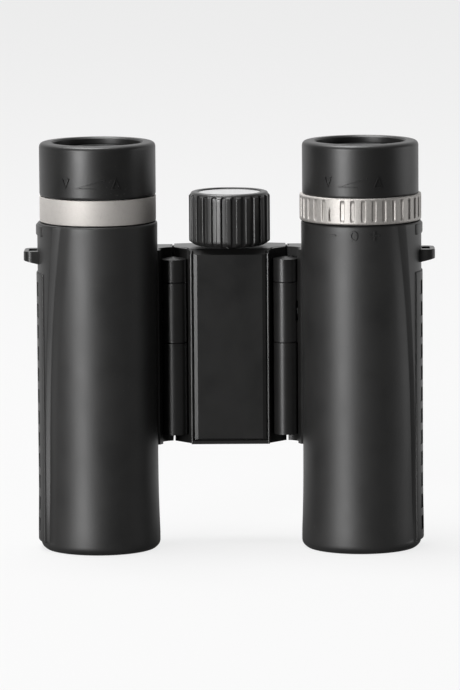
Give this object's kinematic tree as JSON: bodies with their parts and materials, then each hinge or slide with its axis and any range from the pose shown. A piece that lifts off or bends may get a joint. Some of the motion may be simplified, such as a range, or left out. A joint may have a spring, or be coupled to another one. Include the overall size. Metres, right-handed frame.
{
  "type": "binoculars",
  "caption": "Compact black roof-prism binoculars with two folding hinges, ribbed focus wheel, twist-up eyecups, silver trim ring and ribbed dioptre ring.",
  "frame": {"origin": "centre of the bounding box's footprint, on the plane of the two objective rims that the object stands on", "axes": "+Z along the optical axes towards the eyepieces, +X towards the barrel with the dioptre ring, +Y towards the focus wheel's side of the bridge; the barrels fold towards -Y"},
  "size_m": [0.116, 0.0386, 0.1156],
  "materials": {
    "painted_body": "fine textured satin black paint on cast light alloy",
    "armour_rubber": "matte black, very fine grain",
    "grip_rubber": "matte black, very fine grain",
    "eyecup_rubber": "matte black",
    "seal_rubber": "matte",
    "satin_aluminium": "satin anodised",
    "knurled_aluminium": "satin, ribbed",
    "wheel_grip": "satin black, ribbed",
    "wheel_disc": "satin disc",
    "inner_plastic": "matte black",
    "steel": "turned steel",
    "brass": "turned brass",
    "blackened_metal": "blackened brass, matte",
    "coated_glass": "coated, clear",
    "prism_glass": "clear"
  },
  "bodies": {
    "bridge": {"bridge_frame": "painted_body", "front_cover": "painted_body", "back_plate": "painted_body", "cover_screws": "steel", "focus_bush": "blackened_metal", "upper_hinge_pins": "steel", "lower_hinge_bushes": "brass", "hinge_washers": "blackened_metal"},
    "focus_wheel": {"wheel_hub": "inner_plastic", "wheel_grip": "wheel_grip", "wheel_disc": "wheel_disc", "focus_screw": "steel", "screw_clip": "steel"},
    "focus_carriage": {"focus_carriage": "blackened_metal", "push_rods": "blackened_metal"},
    "left_barrel": {"left_housing": "painted_body", "left_armour": "armour_rubber", "left_side_grip": "grip_rubber", "left_strap_lug": "painted_body", "left_objective_ring": "inner_plastic", "left_objective_crown": "coated_glass", "left_objective_flint": "prism_glass", "left_objective_seal": "seal_rubber", "left_prism_cage": "inner_plastic", "left_roof_prism": "prism_glass", "left_half_penta_prism": "prism_glass", "left_eyepiece_sleeve": "inner_plastic", "left_ocular_cell": "inner_plastic", "left_field_lens": "prism_glass", "left_eye_lens": "coated_glass", "left_trim_ring": "satin_aluminium"},
    "right_barrel": {"right_housing": "painted_body", "right_armour": "armour_rubber", "right_side_grip": "grip_rubber", "right_strap_lug": "painted_body", "right_objective_ring": "inner_plastic", "right_objective_crown": "coated_glass", "right_objective_flint": "prism_glass", "right_objective_seal": "seal_rubber", "right_prism_cage": "inner_plastic", "right_roof_prism": "prism_glass", "right_half_penta_prism": "prism_glass", "right_eyepiece_sleeve": "inner_plastic"},
    "right_ocular": {"right_ocular_cell": "inner_plastic", "right_field_lens": "prism_glass", "right_eye_lens": "coated_glass"},
    "diopter_ring": {"diopter_ring": "knurled_aluminium"},
    "left_focus_cell": {"left_focus_cell": "blackened_metal", "left_focus_lens": "prism_glass"},
    "left_eyecup_slide": {"left_eyecup_slide_ring": "inner_plastic"},
    "left_eyecup": {"left_eyecup_core": "inner_plastic", "left_eyecup_rubber": "eyecup_rubber"},
    "right_focus_cell": {"right_focus_cell": "blackened_metal", "right_focus_lens": "prism_glass"},
    "right_eyecup_slide": {"right_eyecup_slide_ring": "inner_plastic"},
    "right_eyecup": {"right_eyecup_core": "inner_plastic", "right_eyecup_rubber": "eyecup_rubber"}
  },
  "joints": [
    {"name": "left_fold", "type": "hinge", "parent": "bridge", "child": "left_barrel", "pos_m": [-0.01576, 0.00243, 0.057], "axis": [0, 0, 1], "range_deg": [0, 71]},
    {"name": "right_fold", "type": "hinge", "parent": "bridge", "child": "right_barrel", "pos_m": [0.01576, 0.00243, 0.057], "axis": [0, 0, -1], "range_deg": [0, 71]},
    {"name": "focus_turn", "type": "hinge", "parent": "bridge", "child": "focus_wheel", "pos_m": [0, 0.00783, 0.09], "axis": [0, 0, 1], "range_deg": [-210, 210]},
    {"name": "carriage_slide", "type": "slide", "parent": "bridge", "child": "focus_carriage", "axis": [0, 0, 1], "range_m": [-0.00177, 0.00177]},
    {"name": "left_focus_slide", "type": "slide", "parent": "left_barrel", "child": "left_focus_cell", "axis": [0, 0, 1], "range_m": [-0.00177, 0.00177]},
    {"name": "right_focus_slide", "type": "slide", "parent": "right_barrel", "child": "right_focus_cell", "axis": [0, 0, 1], "range_m": [-0.00177, 0.00177]},
    {"name": "diopter_turn", "type": "hinge", "parent": "right_barrel", "child": "diopter_ring", "pos_m": [0.037, -0.00217, 0.097], "axis": [0, 0, 1], "range_deg": [-11, 59]},
    {"name": "ocular_slide", "type": "slide", "parent": "right_barrel", "child": "right_ocular", "axis": [0, 0, 1], "range_m": [-0.00021, 0.00103]},
    {"name": "left_eyecup_lift", "type": "slide", "parent": "left_barrel", "child": "left_eyecup_slide", "axis": [0, 0, 1], "range_m": [0, 0.00705]},
    {"name": "left_eyecup_twist", "type": "hinge", "parent": "left_eyecup_slide", "child": "left_eyecup", "pos_m": [-0.037, -0.00217, 0.107], "axis": [0, 0, 1], "range_deg": [0, 110]},
    {"name": "right_eyecup_lift", "type": "slide", "parent": "right_barrel", "child": "right_eyecup_slide", "axis": [0, 0, 1], "range_m": [0, 0.00705]},
    {"name": "right_eyecup_twist", "type": "hinge", "parent": "right_eyecup_slide", "child": "right_eyecup", "pos_m": [0.037, -0.00217, 0.107], "axis": [0, 0, 1], "range_deg": [0, 110]}
  ],
  "couplings": [
    {"joint": "carriage_slide", "follows": "focus_turn", "m_per_rad": 0.00047746},
    {"joint": "left_focus_slide", "follows": "focus_turn", "m_per_rad": 0.00047746},
    {"joint": "right_focus_slide", "follows": "focus_turn", "m_per_rad": 0.00047746},
    {"joint": "ocular_slide", "follows": "diopter_turn", "m_per_rad": 0.00098221},
    {"joint": "left_eyecup_lift", "follows": "left_eyecup_twist", "m_per_rad": 0.0036461},
    {"joint": "right_eyecup_lift", "follows": "right_eyecup_twist", "m_per_rad": 0.0036461}
  ]
}
